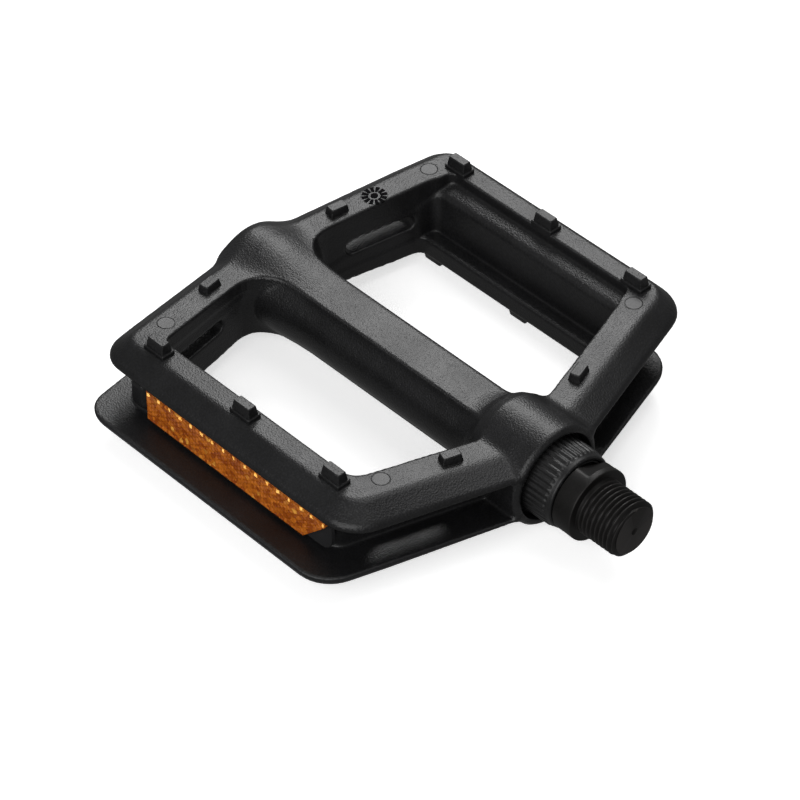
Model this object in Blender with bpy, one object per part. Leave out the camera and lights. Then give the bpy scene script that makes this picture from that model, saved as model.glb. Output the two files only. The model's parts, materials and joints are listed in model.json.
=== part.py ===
"""Left-hand flat pedal: a moulded cage on a cartridge bearing, with reflectors.

World axes: +X runs along the spindle towards the crank arm, +Y is the pedal's front
edge and +Z is up. The origin is on the spindle axis, in the plane of the shoulder that
seats on the crank arm. Lengths below are in millimetres times MM, so they are metres.
"""
import math

import bmesh
import bpy
from mathutils import Matrix, Vector

MM = 0.001
GAP = 0.3 * MM                     # between pieces that touch on the real pedal

# Cage: every x below is measured from the cage centre, which lies here.
CAGE_X = -68.3 * MM
PLATE_TOP = 10.5 * MM              # plate face along the front and rear rims
PLATE_DISH = 1.75 * MM             # the plates sink this much towards the spindle
DISH_INNER = 6.0 * MM
DISH_OUTER = 42.0 * MM
EDGE_TOP = 7.2 * MM                # the plate's upright edge runs between these heights
EDGE_LOW = 5.5 * MM
BLOCK = 18.0 * MM                  # half height of a cutter that passes right through
HUB_HALF_WIDTH = 12.0 * MM         # the rims end on the hub at this y

# Outlines: front and rear y, then the x at the spindle and the slope of each end.
EDGE = dict(front=58.5 * MM, rear=-52.2 * MM, crank=58.9 * MM, crank_slope=0.32,
            outer=-49.3 * MM, outer_slope=0.146, crank_radius=10.0 * MM, outer_radius=7.0 * MM)
FACE = dict(front=55.4 * MM, rear=-46.9 * MM, crank=53.1 * MM, crank_slope=0.33,
            outer=-45.3 * MM, outer_slope=0.155, crank_radius=6.0 * MM, outer_radius=3.5 * MM)
HUB_CORNER_RADIUS = 1.0 * MM       # where the rims meet the hub
OUTER_RIDGE_RADIUS = 6.0 * MM      # at the middle of the outboard edge
CORE = dict(front=48.8 * MM, rear=-48.8 * MM, crank=49.0 * MM, crank_slope=0.31,
            outer=-43.4 * MM, outer_slope=0.16, crank_radius=5.0 * MM, outer_radius=4.0 * MM)
OPENING = dict(front=50.1 * MM, rear=-41.1 * MM, web=5.4 * MM, crank=44.3 * MM,
               crank_slope=0.30, outer=-38.5 * MM, outer_slope=0.17)
FRONT_RADII = (2.5 * MM, 2.5 * MM, 8.0 * MM, 6.0 * MM)
REAR_RADII = (5.0 * MM, 2.5 * MM, 9.0 * MM, 4.0 * MM)

WEB_TOP = 8.75 * MM
WEB_SPAN = (-38.0 * MM, 43.0 * MM)
TUBE_SPAN = (-38.5 * MM, 42.5 * MM)
TUBE_HALF_WIDTH = 9.4 * MM
TUBE_HALF_HEIGHT = 8.4 * MM
WALL_INNER = 45.5 * MM             # inner face of the wall behind each reflector
WALL_SPAN = (-35.0 * MM, 33.5 * MM)
WALL_SKIN = 0.1 * MM               # the walls stay this far inside the core's faces
WALL_HALF_HEIGHT = 8.0 * MM
WINDOW_HEIGHT = 4.2 * MM
WINDOW_LENGTH = 20.0 * MM
WINDOW_DEPTH = 14.0 * MM
WINDOW_Y = 30.0 * MM
CRANK_WALL_X = 46.6 * MM           # middle of each end wall at the spindle
OUTER_WALL_X = -41.0 * MM

# Grip pins, ten to a face.
SIDE_PIN_X = (-29.6 * MM, 0.0, 29.6 * MM)
SIDE_PIN_FRONT = 52.0 * MM
SIDE_PIN_REAR = -44.2 * MM
SIDE_PIN_TOP = 13.8 * MM
SIDE_PIN_SIZE = (5.0 * MM, 2.2 * MM)
END_PIN_Y = 20.4 * MM
END_PIN_CRANK = 41.9 * MM
END_PIN_OUTER = -39.3 * MM
END_PIN_TOP = 11.3 * MM
END_PIN_SIZE = (4.4 * MM, 2.4 * MM)
PIN_FLARE = 0.9 * MM
PIN_ROOT_FLARE = 1.15 * MM
PIN_ROOT = 8.6 * MM                # pins start here, just inside the plate
SIDE_PIN_FOOT = SIDE_PIN_TOP - 2.0 * MM
END_PIN_FOOT = PIN_ROOT + 0.9 * MM

# Hub and bearing seats, as x from the cage centre and radius.
MOUTH_X = 55.5 * MM
MOUTH_RADIUS = 13.0 * MM
MOUTH_BEVEL = (1.0 * MM, 0.8 * MM)
CRANK_BOSS = ((32.0 * MM, 8.2 * MM), (35.0 * MM, 9.6 * MM), (37.5 * MM, 12.0 * MM),
              (40.0 * MM, MOUTH_RADIUS))
OUTER_BOSS_X = -49.5 * MM
OUTER_BOSS_RADIUS = 11.4 * MM
OUTER_BOSS = ((OUTER_BOSS_X, 9.6 * MM), (-48.6 * MM, 10.6 * MM), (-46.7 * MM, OUTER_BOSS_RADIUS),
              (-38.5 * MM, OUTER_BOSS_RADIUS), (-36.5 * MM, 11.0 * MM), (-34.5 * MM, 10.0 * MM),
              (-32.5 * MM, 8.2 * MM))
SLEEVE_BORE = 11.2 * MM
CUP_SEAT_X = 40.2 * MM
THROUGH_BORE = 6.6 * MM
OUTER_SEAT_X = -36.0 * MM
OUTER_BORE = 9.0 * MM

# Bearings: ball pitch radius, ball radius and station of each row.
BALLS_PER_ROW = 10
INNER_BALL = dict(x=43.4 * MM, pitch=7.9 * MM, radius=1.984 * MM)
OUTER_BALL = dict(x=-39.0 * MM, pitch=6.3 * MM, radius=1.588 * MM)
INNER_CONE_ARC, INNER_CUP_ARC = (-20, -100), (170, 40)   # race arcs, in degrees
OUTER_CONE_ARC, OUTER_CUP_ARC = (-80, -165), (10, 140)
CUP_REACH = 2.6 * MM               # how far each cup runs past its balls

# Outboard stack on the spindle's end, then the cap that covers it.
CONE_BACK_X = -42.6 * MM
CONE_LIP = (0.4 * MM, 0.3 * MM)
WASHER_SPAN = (-43.6 * MM, -42.9 * MM)
WASHER_RADIUS = 6.8 * MM
NUT_SPAN = (-46.3 * MM, -43.9 * MM)
NUT_CORNER_RADIUS = 7.2 * MM
NUT_ROUND_RADIUS = 6.9 * MM
NUT_SIDES = 6
CAP_SPAN = (-49.3 * MM, -44.6 * MM)
CAP_FLOOR_X = -47.5 * MM
CAP_WALL = 0.9 * MM
CAP_BEVEL = (0.4 * MM, 1.2 * MM)

# Spindle.
THREAD_LENGTH = 11.3 * MM
THREAD_RADIUS = 7.145 * MM         # 9/16 inch, 20 turns to the inch, left handed
THREAD_PITCH = 1.27 * MM
THREAD_DEPTH = 0.7 * MM
THREAD_RUNOUT = 1.2 * MM           # the groove starts this far from the shoulder
THREAD_OVERCUT = 0.5 * MM
THREAD_ROOT_HALF = 0.06 * MM
THREAD_STEPS = 20
THREAD_TIP_BEVEL = 1.2 * MM
THREAD_HALF_ANGLE = 30.0           # degrees
COLLAR_LENGTH = 5.4 * MM
COLLAR_RADIUS = 9.2 * MM
SPINDLE_BEVEL = 0.5 * MM
FLATS_HALF = 7.5 * MM              # 15 mm across the flats
FLATS_TURN = -24.0                 # degrees about the spindle
FLATS_END_X = -1.6 * MM            # the flats stop short of the shoulder
FLATS_REACH = 12.0 * MM
JOURNAL_RADIUS = 7.2 * MM
SHAFT_RADIUS = 5.2 * MM
SHAFT_END_RADIUS = 3.6 * MM
SHAFT_STEP = (-34.0 * MM, -32.0 * MM)
SHAFT_NECK = 0.4 * MM
JOURNAL_START = 6.0 * MM           # ahead of the inner balls
SPINDLE_END_X = -46.9 * MM

SLEEVE_RIBS = 30
SLEEVE_RIB_RADIUS = 10.0 * MM
SLEEVE_RIB_DEPTH = 0.55 * MM
SLEEVE_THREAD_RADIUS = 10.9 * MM
SLEEVE_RIB_START = 53.0 * MM
SLEEVE_START = INNER_BALL["x"] + 3.2 * MM
SLEEVE_END = 62.5 * MM
SLEEVE_BEVEL = 0.7 * MM
SLEEVE_INNER_RADIUS = 8.4 * MM
SEAL_SPAN = (59.0 * MM, 62.2 * MM)
SEAL_LIP_X = 60.4 * MM

# Reflectors, the rear one described; the front one is the same turned half a turn.
LENS = dict(low_x=-26.5 * MM, high_x=34.3 * MM, low_z=-4.3 * MM, high_z=4.8 * MM,
            face=-51.4 * MM, back=-50.3 * MM)
TRAY_FACE = -50.0 * MM
TRAY_BACK = -49.1 * MM
TRAY_MARGIN = 0.5 * MM
LENS_CORNER = 3.6 * MM
PLAIN_CORNER = 0.4 * MM

ROUND_STEPS = 6
TURN_STEPS = 40


# ---------------------------------------------------------------- materials

def material(name, colour, roughness, metallic=0.0):
    """A Principled BSDF material in one colour."""
    made = bpy.data.materials.new(name)
    made.use_nodes = True
    shader = made.node_tree.nodes["Principled BSDF"]
    shader.inputs["Base Color"].default_value = (*colour, 1.0)
    shader.inputs["Roughness"].default_value = roughness
    shader.inputs["Metallic"].default_value = metallic
    return made


def make_materials():
    """Every finish on the pedal, by name."""
    return {
        "black_nylon": material("black_nylon", (0.028, 0.028, 0.031), 0.55),
        "sleeve_plastic": material("sleeve_plastic", (0.022, 0.022, 0.024), 0.5),
        "black_steel": material("black_steel", (0.035, 0.034, 0.034), 0.42, 0.7),
        "bearing_steel": material("bearing_steel", (0.62, 0.62, 0.64), 0.2, 1.0),
        "zinc_steel": material("zinc_steel", (0.5, 0.51, 0.53), 0.38, 1.0),
        "seal_rubber": material("seal_rubber", (0.018, 0.018, 0.018), 0.75),
        "amber_lens": material("amber_lens", (0.75, 0.22, 0.03), 0.15),
        "tray_plastic": material("tray_plastic", (0.03, 0.03, 0.032), 0.5),
    }


# ---------------------------------------------------------------- mesh helpers

def new_object(name, bm, finish=None, cage_frame=True, sharp=35.0):
    """Turn a bmesh into a named object, smooth except at its sharp edges."""
    bmesh.ops.recalc_face_normals(bm, faces=bm.faces)
    mesh = bpy.data.meshes.new(name)
    bm.to_mesh(mesh)
    bm.free()
    mesh.shade_smooth()
    mesh.set_sharp_from_angle(angle=math.radians(sharp))
    made = bpy.data.objects.new(name, mesh)
    bpy.context.scene.collection.objects.link(made)
    if finish is not None:
        made.data.materials.append(finish)
    if cage_frame:
        made.location.x = CAGE_X
    return made


def as_cutter(made):
    """Mark an object as a boolean operand only."""
    made.hide_render = True
    made.display_type = "WIRE"
    return made


def combine(target, operand, operation):
    """Add an exact boolean of the operand to the target."""
    step = target.modifiers.new(operand.name, "BOOLEAN")
    step.solver = "EXACT"
    step.operation = operation
    step.object = as_cutter(operand)
    return target


def rounded_outline(corners):
    """Points of a polygon whose corners (x, y, radius) are turned as arcs."""
    points = []
    count = len(corners)
    for index, (x, y, radius) in enumerate(corners):
        here = Vector((x, y))
        before = (Vector(corners[index - 1][:2]) - here).normalized()
        after = (Vector(corners[(index + 1) % count][:2]) - here).normalized()
        half_angle = before.angle(after) / 2
        centre = here + (before + after).normalized() * radius / math.sin(half_angle)
        start = here + before * radius / math.tan(half_angle) - centre
        sweep = math.pi - 2 * half_angle
        turn = 1.0 if before.cross(after) < 0 else -1.0
        for step in range(ROUND_STEPS + 1):
            angle = turn * sweep * step / ROUND_STEPS
            points.append(centre + Matrix.Rotation(angle, 2) @ start)
    return points


def loft(bm, sections):
    """Skin (z, outline) sections with equal point counts and cap both ends."""
    rings = [[bm.verts.new((p.x, p.y, z)) for p in outline] for z, outline in sections]
    count = len(rings[0])
    for low, high in zip(rings, rings[1:]):
        for i in range(count):
            j = (i + 1) % count
            bm.faces.new((low[i], low[j], high[j], high[i]))
    bm.faces.new(rings[0])
    bm.faces.new(rings[-1])


def turned(bm, profile, steps=TURN_STEPS, closed=False):
    """Turn an (x, radius) profile about the X axis; radius 0 makes a tip."""
    rings = []
    for x, radius in profile:
        if radius == 0.0:
            rings.append([bm.verts.new((x, 0.0, 0.0))])
            continue
        angles = [2 * math.pi * i / steps for i in range(steps)]
        rings.append([bm.verts.new((x, radius * math.cos(a), radius * math.sin(a))) for a in angles])
    pairs = list(zip(rings, rings[1:]))
    if closed:
        pairs.append((rings[-1], rings[0]))
    for first, second in pairs:
        for i in range(steps):
            j = (i + 1) % steps
            if len(first) == 1:
                bm.faces.new((first[0], second[i], second[j]))
            elif len(second) == 1:
                bm.faces.new((first[i], first[j], second[0]))
            else:
                bm.faces.new((first[i], first[j], second[j], second[i]))


def arc_profile(centre_x, centre_r, radius, start, end, steps=6):
    """Points of an arc in the (x, radius) plane, angles in degrees from +X."""
    points = []
    for i in range(steps + 1):
        angle = math.radians(start + (end - start) * i / steps)
        points.append((centre_x + radius * math.cos(angle), centre_r + radius * math.sin(angle)))
    return points


def box(bm, low, high, turn=None):
    """A box between two corners, turned by an optional matrix."""
    size = [h - l for l, h in zip(low, high)]
    middle = [(h + l) / 2 for l, h in zip(low, high)]
    place = Matrix.Translation(middle) @ Matrix.Diagonal((*size, 1.0))
    bmesh.ops.create_cube(bm, size=1.0, matrix=(turn or Matrix()) @ place)


def half_turn(bm):
    """Turn a mesh half a turn about the spindle axis."""
    bmesh.ops.rotate(bm, verts=bm.verts, cent=(0, 0, 0), matrix=Matrix.Rotation(math.pi, 3, "X"))


# ---------------------------------------------------------------- cage

def plate_outline(shape):
    """The six-sided outline of a plate, blunt where the rims meet the hub."""
    def crank_x(y):
        return shape["crank"] - shape["crank_slope"] * abs(y)

    def outer_x(y):
        return shape["outer"] + shape["outer_slope"] * abs(y)

    front, rear = shape["front"], shape["rear"]
    return rounded_outline([
        (crank_x(HUB_HALF_WIDTH), HUB_HALF_WIDTH, HUB_CORNER_RADIUS),
        (crank_x(front), front, shape["crank_radius"]),
        (outer_x(front), front, shape["outer_radius"]),
        (outer_x(0.0), 0.0, OUTER_RIDGE_RADIUS),
        (outer_x(rear), rear, shape["outer_radius"]),
        (crank_x(rear), rear, shape["crank_radius"]),
        (crank_x(HUB_HALF_WIDTH), -HUB_HALF_WIDTH, HUB_CORNER_RADIUS),
    ])


def dish_plate(bm):
    """Sink the plate's top face towards the spindle, in straight facets."""
    for y in (-DISH_OUTER, -DISH_INNER, DISH_INNER, DISH_OUTER):
        geometry = bm.verts[:] + bm.edges[:] + bm.faces[:]
        bmesh.ops.bisect_plane(bm, geom=geometry, plane_co=(0, y, 0), plane_no=(0, 1, 0), dist=1e-7)
    for vert in bm.verts:
        if vert.co.z > EDGE_TOP + GAP:
            share = (abs(vert.co.y) - DISH_INNER) / (DISH_OUTER - DISH_INNER)
            vert.co.z -= PLATE_DISH * (1.0 - min(1.0, max(0.0, share)))
    bmesh.ops.triangulate(bm, faces=bm.faces)


def plate_mesh():
    """One plate: an upright edge, sloping shoulders and a dished face."""
    bm = bmesh.new()
    loft(bm, [(EDGE_LOW, plate_outline(EDGE)), (EDGE_TOP, plate_outline(EDGE)),
              (PLATE_TOP, plate_outline(FACE))])
    dish_plate(bm)
    return bm


def opening_outline(side, shift):
    """A foot opening's outline; side is +1 at the front, shift +1 on the upper face."""
    wide = side * shift > 0
    rim = OPENING["front"] if wide else -OPENING["rear"]
    radii = FRONT_RADII if wide else REAR_RADII

    def crank_x(y):
        return OPENING["crank"] - OPENING["crank_slope"] * y

    def outer_x(y):
        return OPENING["outer"] + OPENING["outer_slope"] * y

    web = OPENING["web"]
    corners = [(crank_x(rim), rim, radii[0]), (outer_x(rim), rim, radii[1]),
               (outer_x(web), web, radii[2]), (crank_x(web), web, radii[3])]
    return rounded_outline([(x, side * y, radius) for x, y, radius in corners])


def opening_cutter(name, side):
    """The through opening on one side of the web, leaning with the cage."""
    upper = opening_outline(side, 1)
    lower = opening_outline(side, -1)
    bm = bmesh.new()
    loft(bm, [(-BLOCK, lower), (-PLATE_TOP, lower), (PLATE_TOP, upper), (BLOCK, upper)])
    bmesh.ops.triangulate(bm, faces=bm.faces)
    return new_object(name, bm)


def core_block():
    """The wall that joins the plates, set in from their edges."""
    bm = bmesh.new()
    outline = plate_outline(CORE)
    middle = EDGE_LOW + (EDGE_TOP - EDGE_LOW) / 2
    loft(bm, [(-middle, outline), (middle, outline)])
    return new_object("core_block", bm)


def web_block():
    """The flat web over the spindle tube."""
    bm = bmesh.new()
    box(bm, (WEB_SPAN[0], -OPENING["web"], -WEB_TOP), (WEB_SPAN[1], OPENING["web"], WEB_TOP))
    return new_object("web_block", bm)


def spindle_tube():
    """The tube inside the web, wider than it is high."""
    bm = bmesh.new()
    turned(bm, [(TUBE_SPAN[0], 0.0), (TUBE_SPAN[0], 1.0), (TUBE_SPAN[1], 1.0), (TUBE_SPAN[1], 0.0)])
    for vert in bm.verts:
        vert.co.y *= TUBE_HALF_WIDTH
        vert.co.z *= TUBE_HALF_HEIGHT
    return new_object("spindle_tube", bm)


def hub_bosses():
    """The domed bearing housing at each end of the tube."""
    crank = bmesh.new()
    bevel_x, bevel_r = MOUTH_BEVEL
    turned(crank, [(CRANK_BOSS[0][0], 0.0), *CRANK_BOSS, (MOUTH_X - bevel_x, MOUTH_RADIUS),
                   (MOUTH_X, MOUTH_RADIUS - bevel_r), (MOUTH_X, 0.0)])
    outer = bmesh.new()
    turned(outer, [(OUTER_BOSS[0][0], 0.0), *OUTER_BOSS, (OUTER_BOSS[-1][0], 0.0)])
    return new_object("crank_boss", crank), new_object("outer_boss", outer)


def reflector_walls():
    """The upright wall behind each reflector, in one operand."""
    bm = bmesh.new()
    low, high = WALL_SPAN
    box(bm, (low, CORE["rear"] + WALL_SKIN, -WALL_HALF_HEIGHT), (high, -WALL_INNER, WALL_HALF_HEIGHT))
    box(bm, (low, WALL_INNER, -WALL_HALF_HEIGHT), (high, CORE["front"] - WALL_SKIN, WALL_HALF_HEIGHT))
    return new_object("reflector_walls", bm)


def end_windows():
    """The four long windows that lighten the end walls."""
    bm = bmesh.new()
    half = (WINDOW_DEPTH / 2, WINDOW_LENGTH / 2, WINDOW_HEIGHT / 2)
    walls = ((CRANK_WALL_X, -CORE["crank_slope"]), (OUTER_WALL_X, CORE["outer_slope"]))
    for side in (-1, 1):
        for middle, slope in walls:
            place = Matrix.Translation((middle + slope * WINDOW_Y, side * WINDOW_Y, 0))
            lean = Matrix.Rotation(-side * math.atan(slope), 4, "Z")
            box(bm, [-h for h in half], half, place @ lean)
    return new_object("end_windows", bm)


def grip_pin(bm, x, y, heights, size, angle):
    """One pin: a low plinth up to its foot, then a tapered block with a flat top."""
    foot, top = heights
    length, width = size
    turn = Matrix.Rotation(angle, 2)
    corners = ((-1, -1), (1, -1), (1, 1), (-1, 1))
    sections = []
    for z, flare in ((PIN_ROOT, PIN_ROOT_FLARE), (foot, PIN_FLARE), (top, 0.0)):
        half_x, half_y = length / 2 + flare, width / 2 + flare
        ring = [turn @ Vector((sx * half_x, sy * half_y)) for sx, sy in corners]
        sections.append((z, [p + Vector((x, y)) for p in ring]))
    loft(bm, sections)


def grip_pins():
    """The ten pins of the upper face and the ten of the lower face."""
    bm = bmesh.new()
    side_heights, end_heights = (SIDE_PIN_FOOT, SIDE_PIN_TOP), (END_PIN_FOOT, END_PIN_TOP)
    for x in SIDE_PIN_X:
        grip_pin(bm, x, SIDE_PIN_FRONT, side_heights, SIDE_PIN_SIZE, 0.0)
        grip_pin(bm, x, SIDE_PIN_REAR, side_heights, SIDE_PIN_SIZE, 0.0)
    for side in (-1, 1):
        y = side * END_PIN_Y
        crank_turn = side * (math.pi / 2 + math.atan(FACE["crank_slope"]))
        outer_turn = side * (math.pi / 2 - math.atan(FACE["outer_slope"]))
        grip_pin(bm, END_PIN_CRANK, y, end_heights, END_PIN_SIZE, crank_turn)
        grip_pin(bm, END_PIN_OUTER, y, end_heights, END_PIN_SIZE, outer_turn)
    lower = bm.copy()
    half_turn(lower)
    scratch = bpy.data.meshes.new("lower_pins")
    lower.to_mesh(scratch)
    bm.from_mesh(scratch)
    lower.free()
    bpy.data.meshes.remove(scratch)
    return new_object("grip_pins", bm)


def bearing_bores():
    """The stepped bore: sleeve and cup seat, through bore, outer seat."""
    bm = bmesh.new()
    past = 4.0 * MM
    turned(bm, [(OUTER_BOSS_X - past, 0.0), (OUTER_BOSS_X - past, OUTER_BORE),
                (OUTER_SEAT_X, OUTER_BORE), (OUTER_SEAT_X, THROUGH_BORE),
                (CUP_SEAT_X, THROUGH_BORE), (CUP_SEAT_X, SLEEVE_BORE),
                (MOUTH_X + past, SLEEVE_BORE), (MOUTH_X + past, 0.0)])
    return new_object("bearing_bores", bm)


def make_pedal_body(finish):
    """The cage: two leaning plates, end walls, web, hub and pins in one moulding."""
    body = new_object("pedal_body", plate_mesh(), finish)
    lower = plate_mesh()
    half_turn(lower)
    combine(body, core_block(), "UNION")
    combine(body, new_object("lower_plate", lower), "UNION")
    combine(body, opening_cutter("front_opening", 1), "DIFFERENCE")
    combine(body, opening_cutter("rear_opening", -1), "DIFFERENCE")
    combine(body, web_block(), "UNION")
    combine(body, spindle_tube(), "UNION")
    for boss in hub_bosses():
        combine(body, boss, "UNION")
    combine(body, reflector_walls(), "UNION")
    combine(body, end_windows(), "DIFFERENCE")
    combine(body, grip_pins(), "UNION")
    combine(body, bearing_bores(), "DIFFERENCE")
    return body


# ---------------------------------------------------------------- spindle

def race_points(ball, start, end):
    """A groove of the right radius round a row of balls, with running clearance."""
    return arc_profile(ball["x"], ball["pitch"], ball["radius"] + GAP, start, end)


def thread_groove():
    """A left-hand V groove wound along the crank end of the spindle."""
    bm = bmesh.new()
    turns = int(THREAD_LENGTH / THREAD_PITCH) + 2
    inner, outer = THREAD_RADIUS - THREAD_DEPTH, THREAD_RADIUS + THREAD_OVERCUT
    half_width = (outer - inner) * math.tan(math.radians(THREAD_HALF_ANGLE)) + THREAD_ROOT_HALF
    rings = []
    for index in range(turns * THREAD_STEPS + 1):
        angle = -2 * math.pi * index / THREAD_STEPS
        x = THREAD_RUNOUT + THREAD_PITCH * index / THREAD_STEPS
        across, up = math.cos(angle), math.sin(angle)
        section = ((x, inner), (x + half_width, outer), (x - half_width, outer))
        rings.append([bm.verts.new((px, r * across, r * up)) for px, r in section])
    for first, second in zip(rings, rings[1:]):
        for i in range(3):
            j = (i + 1) % 3
            bm.faces.new((first[i], first[j], second[j], second[i]))
    bm.faces.new(rings[0])
    bm.faces.new(rings[-1])
    bmesh.ops.triangulate(bm, faces=bm.faces)
    return new_object("thread_groove", bm, cage_frame=False)


def wrench_flats():
    """Two blocks that cut the collar to 15 mm across."""
    bm = bmesh.new()
    reach = FLATS_REACH
    for side in (-1, 1):
        low, high = sorted((side * FLATS_HALF, side * reach))
        box(bm, (-COLLAR_LENGTH - SPINDLE_BEVEL, -reach, low), (FLATS_END_X, reach, high))
    turn = Matrix.Rotation(math.radians(FLATS_TURN), 3, "X")
    bmesh.ops.rotate(bm, verts=bm.verts, cent=(0, 0, 0), matrix=turn)
    return new_object("wrench_flats", bm, cage_frame=False)


def make_spindle(finish):
    """The forged axle, turned in one piece with its collar and inner race."""
    bevel = SPINDLE_BEVEL
    end = CAGE_X + SPINDLE_END_X
    journal_end = CAGE_X + INNER_BALL["x"]
    race = [(CAGE_X + x, r) for x, r in race_points(INNER_BALL, *INNER_CONE_ARC)]
    shaft = [(end, 0.0), (end, SHAFT_END_RADIUS - bevel), (end + bevel, SHAFT_END_RADIUS),
             (CAGE_X + SHAFT_STEP[0], SHAFT_END_RADIUS),
             (CAGE_X + SHAFT_STEP[1], SHAFT_RADIUS - SHAFT_NECK),
             (journal_end - JOURNAL_START, SHAFT_RADIUS)]
    collar = [(race[0][0] + bevel, JOURNAL_RADIUS), (-COLLAR_LENGTH, JOURNAL_RADIUS),
              (-COLLAR_LENGTH, COLLAR_RADIUS - bevel), (-COLLAR_LENGTH + bevel, COLLAR_RADIUS),
              (-bevel, COLLAR_RADIUS), (0.0, COLLAR_RADIUS - bevel)]
    thread = [(0.0, THREAD_RADIUS), (THREAD_LENGTH - THREAD_TIP_BEVEL, THREAD_RADIUS),
              (THREAD_LENGTH, THREAD_RADIUS - THREAD_TIP_BEVEL), (THREAD_LENGTH, 0.0)]
    bm = bmesh.new()
    turned(bm, shaft + race[::-1] + collar + thread)
    spindle = new_object("spindle", bm, finish, cage_frame=False)
    combine(spindle, wrench_flats(), "DIFFERENCE")
    return combine(spindle, thread_groove(), "DIFFERENCE")


# ---------------------------------------------------------------- bearing pieces

def make_ring(name, profile, finish, steps=TURN_STEPS):
    """A hollow turned piece from its closed (x, radius) section."""
    bm = bmesh.new()
    turned(bm, profile, steps, closed=True)
    return new_object(name, bm, finish)


def make_lock_sleeve(finish):
    """The ribbed sleeve that holds the bearing in the hub mouth."""
    bm = bmesh.new()
    steps = SLEEVE_RIBS * 4
    sections = ((SLEEVE_START, SLEEVE_THREAD_RADIUS, 0.0),
                (SLEEVE_RIB_START, SLEEVE_THREAD_RADIUS, 0.0),
                (SLEEVE_RIB_START, SLEEVE_RIB_RADIUS, 1.0),
                (SLEEVE_END - SLEEVE_BEVEL, SLEEVE_RIB_RADIUS, 1.0),
                (SLEEVE_END, SLEEVE_RIB_RADIUS - SLEEVE_BEVEL, 0.0),
                (SLEEVE_END, SLEEVE_INNER_RADIUS, 0.0),
                (SLEEVE_START, SLEEVE_INNER_RADIUS, 0.0))
    rings = []
    for x, radius, ribbed in sections:
        ring = []
        for i in range(steps):
            angle = 2 * math.pi * i / steps
            groove = 0.0 if i % 4 in (0, 1) else SLEEVE_RIB_DEPTH
            r = radius - ribbed * groove
            ring.append(bm.verts.new((x, r * math.cos(angle), r * math.sin(angle))))
        rings.append(ring)
    for first, second in zip(rings, rings[1:] + rings[:1]):
        for i in range(steps):
            j = (i + 1) % steps
            bm.faces.new((first[i], first[j], second[j], second[i]))
    return new_object("lock_sleeve", bm, finish)


def make_inner_seal(finish):
    """The lip seal between the sleeve and the spindle journal."""
    outer, lip = SLEEVE_INNER_RADIUS - GAP, JOURNAL_RADIUS + GAP
    low, high = SEAL_SPAN
    return make_ring("inner_seal", [(low, lip + GAP), (SEAL_LIP_X, lip), (high, lip + GAP),
                                    (high, outer), (low, outer)], finish)


def make_inner_cup(finish):
    """The cup pressed into the hub for the crank-side balls."""
    groove = race_points(INNER_BALL, *INNER_CUP_ARC)
    low, high = CUP_SEAT_X + GAP, INNER_BALL["x"] + CUP_REACH
    wall = SLEEVE_BORE - GAP
    return make_ring("inner_cup", [(low, wall), (low, groove[0][1])] + groove
                     + [(high, groove[-1][1]), (high, wall)], finish)


def make_outer_cup(finish):
    """The cup pressed into the hub for the outboard balls."""
    groove = race_points(OUTER_BALL, *OUTER_CUP_ARC)
    low, high = OUTER_BALL["x"] - CUP_REACH, OUTER_SEAT_X - GAP
    wall = OUTER_BORE - GAP
    return make_ring("outer_cup", [(high, wall), (high, groove[0][1])] + groove
                     + [(low, groove[-1][1]), (low, wall)], finish)


def make_outer_cone(finish):
    """The adjusting cone that screws on the spindle's end."""
    groove = race_points(OUTER_BALL, *OUTER_CONE_ARC)
    bore = SHAFT_END_RADIUS + GAP
    lip_x, lip_r = CONE_LIP
    rim_x, rim_r = groove[-1]
    return make_ring("outer_cone", [(groove[0][0], bore)] + groove
                     + [(rim_x - lip_x, rim_r + lip_r), (CONE_BACK_X, rim_r + lip_r),
                        (CONE_BACK_X, bore)], finish)


def make_balls(row, ball, finish):
    """One row of bearing balls, each its own piece on a shared mesh."""
    shared = None
    for index in range(BALLS_PER_ROW):
        name = f"{row}_ball_{index + 1:02d}"
        if shared is None:
            bm = bmesh.new()
            bmesh.ops.create_icosphere(bm, subdivisions=2, radius=ball["radius"])
            made = new_object(name, bm, finish, sharp=60.0)
            shared = made.data
        else:
            made = bpy.data.objects.new(name, shared)
            bpy.context.scene.collection.objects.link(made)
        angle = 2 * math.pi * index / BALLS_PER_ROW
        pitch = ball["pitch"]
        made.location = (CAGE_X + ball["x"], pitch * math.cos(angle), pitch * math.sin(angle))


def flat_ring(name, span, radius, finish):
    """A plain ring on the spindle's end, between two x values."""
    bore = SHAFT_END_RADIUS + GAP
    low, high = span
    return make_ring(name, [(low, bore), (high, bore), (high, radius), (low, radius)], finish)


def make_locknut(finish):
    """The hexagonal nut that locks the cone."""
    nut = flat_ring("locknut", NUT_SPAN, NUT_ROUND_RADIUS, finish)
    bm = bmesh.new()
    low, high = NUT_SPAN[0] - GAP, NUT_SPAN[1] + GAP
    turned(bm, [(low, 0.0), (low, NUT_CORNER_RADIUS), (high, NUT_CORNER_RADIUS), (high, 0.0)], NUT_SIDES)
    return combine(nut, new_object("nut_hexagon", bm), "INTERSECT")


def make_dust_cap(finish):
    """The cap that closes the hub's outboard end."""
    wall = OUTER_BORE - GAP
    low, high = CAP_SPAN
    bevel_x, bevel_r = CAP_BEVEL
    bm = bmesh.new()
    turned(bm, [(low, 0.0), (low, wall - bevel_r), (low + bevel_x, wall), (high, wall),
                (high, wall - CAP_WALL), (CAP_FLOOR_X, wall - CAP_WALL), (CAP_FLOOR_X, 0.0)])
    return new_object("dust_cap", bm, finish)


# ---------------------------------------------------------------- reflectors

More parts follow.
